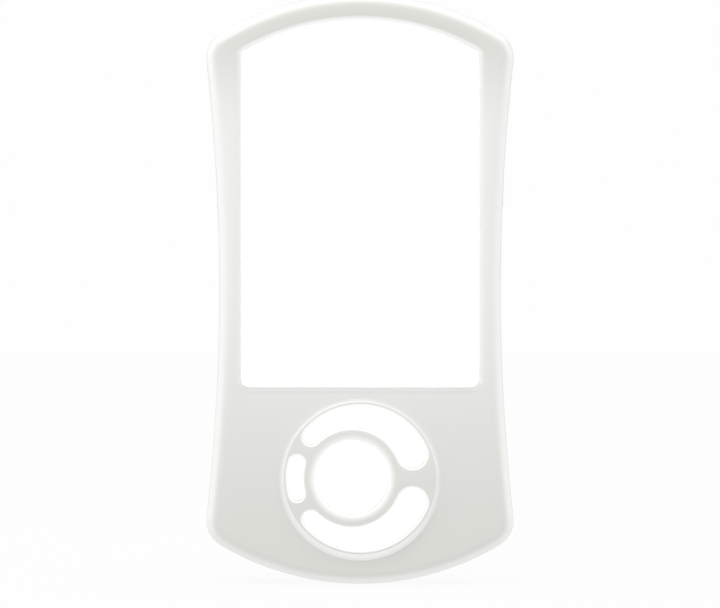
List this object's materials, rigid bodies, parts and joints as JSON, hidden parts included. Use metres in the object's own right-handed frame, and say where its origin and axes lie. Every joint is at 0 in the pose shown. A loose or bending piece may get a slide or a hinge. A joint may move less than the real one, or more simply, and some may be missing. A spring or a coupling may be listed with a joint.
{
  "type": "digital audio player",
  "caption": "Pocket audio player with a waisted white front cover, tall bowed-top display window and an off-centre round key among bowed keys on a raised disc; cover, keys and hold slider move.",
  "frame": {"origin": "middle of the flat back face of the rear cover", "axes": "+Z towards the top of the display, +Y out of the back (the face looks along -Y), +X to the right of someone facing the display"},
  "size_m": [0.0572, 0.0133, 0.1096],
  "materials": {
    "cover": "satin",
    "frame": "satin",
    "key": "satin",
    "clear": "clear",
    "screen": "lit",
    "diffuser": "matte",
    "steel": "brushed",
    "board": "satin",
    "black_plastic": "matte",
    "foil": "satin",
    "foam": "matte",
    "polyimide": "gloss",
    "red_wire": "satin"
  },
  "bodies": {
    "case": {"rear_cover": "cover", "mid_frame": "frame", "display_window": "clear", "window_mask": "key", "display_panel": "screen", "backlight_panel": "diffuser", "display_tray": "steel", "display_cable": "polyimide", "display_connector": "black_plastic", "main_board": "board", "processor_chip": "black_plastic", "memory_chip": "black_plastic", "audio_chip": "black_plastic", "power_chip": "black_plastic", "shield_can": "steel", "headphone_socket": "black_plastic", "usb_socket": "steel", "battery": "foil", "battery_pad": "foam", "battery_lead_red": "red_wire", "battery_lead_black": "black_plastic", "battery_connector": "key", "hold_switch": "steel", "case_screw_1": "steel", "case_screw_2": "steel", "case_screw_3": "steel", "case_screw_4": "steel", "board_screw_1": "steel", "board_screw_2": "steel", "board_screw_3": "steel", "centre_switch": "steel", "up_switch": "steel", "down_switch": "steel", "back_switch": "steel", "volume_up_switch": "steel", "volume_down_switch": "steel"},
    "front_cover": {"front_cover": "cover"},
    "centre_key": {"centre_key": "key", "centre_plunger": "black_plastic"},
    "up_key": {"up_key": "key", "up_plunger": "black_plastic"},
    "down_key": {"down_key": "key", "down_plunger": "black_plastic"},
    "back_key": {"back_key": "key", "back_plunger": "black_plastic"},
    "volume_up_key": {"volume_up_key": "key", "volume_up_plunger": "black_plastic"},
    "volume_down_key": {"volume_down_key": "key", "volume_down_plunger": "black_plastic"},
    "hold_slider": {"hold_slider": "key", "hold_lever": "black_plastic"}
  },
  "joints": [
    {"name": "cover_release", "type": "slide", "parent": "case", "child": "front_cover", "axis": [0, -1, 0], "range_m": [0, 0.02]},
    {"name": "centre_press", "type": "slide", "parent": "case", "child": "centre_key", "axis": [0, 1, 0], "range_m": [0, 0.0004]},
    {"name": "up_press", "type": "slide", "parent": "case", "child": "up_key", "axis": [0, 1, 0], "range_m": [0, 0.0004]},
    {"name": "down_press", "type": "slide", "parent": "case", "child": "down_key", "axis": [0, 1, 0], "range_m": [0, 0.0004]},
    {"name": "back_press", "type": "slide", "parent": "case", "child": "back_key", "axis": [0, 1, 0], "range_m": [0, 0.0004]},
    {"name": "volume_up_press", "type": "slide", "parent": "case", "child": "volume_up_key", "axis": [-1, 0, 0], "range_m": [0, 0.00035]},
    {"name": "volume_down_press", "type": "slide", "parent": "case", "child": "volume_down_key", "axis": [-1, 0, 0], "range_m": [0, 0.00035]},
    {"name": "hold_slide", "type": "slide", "parent": "case", "child": "hold_slider", "axis": [0, 0, 1], "range_m": [0, 0.003]}
  ]
}
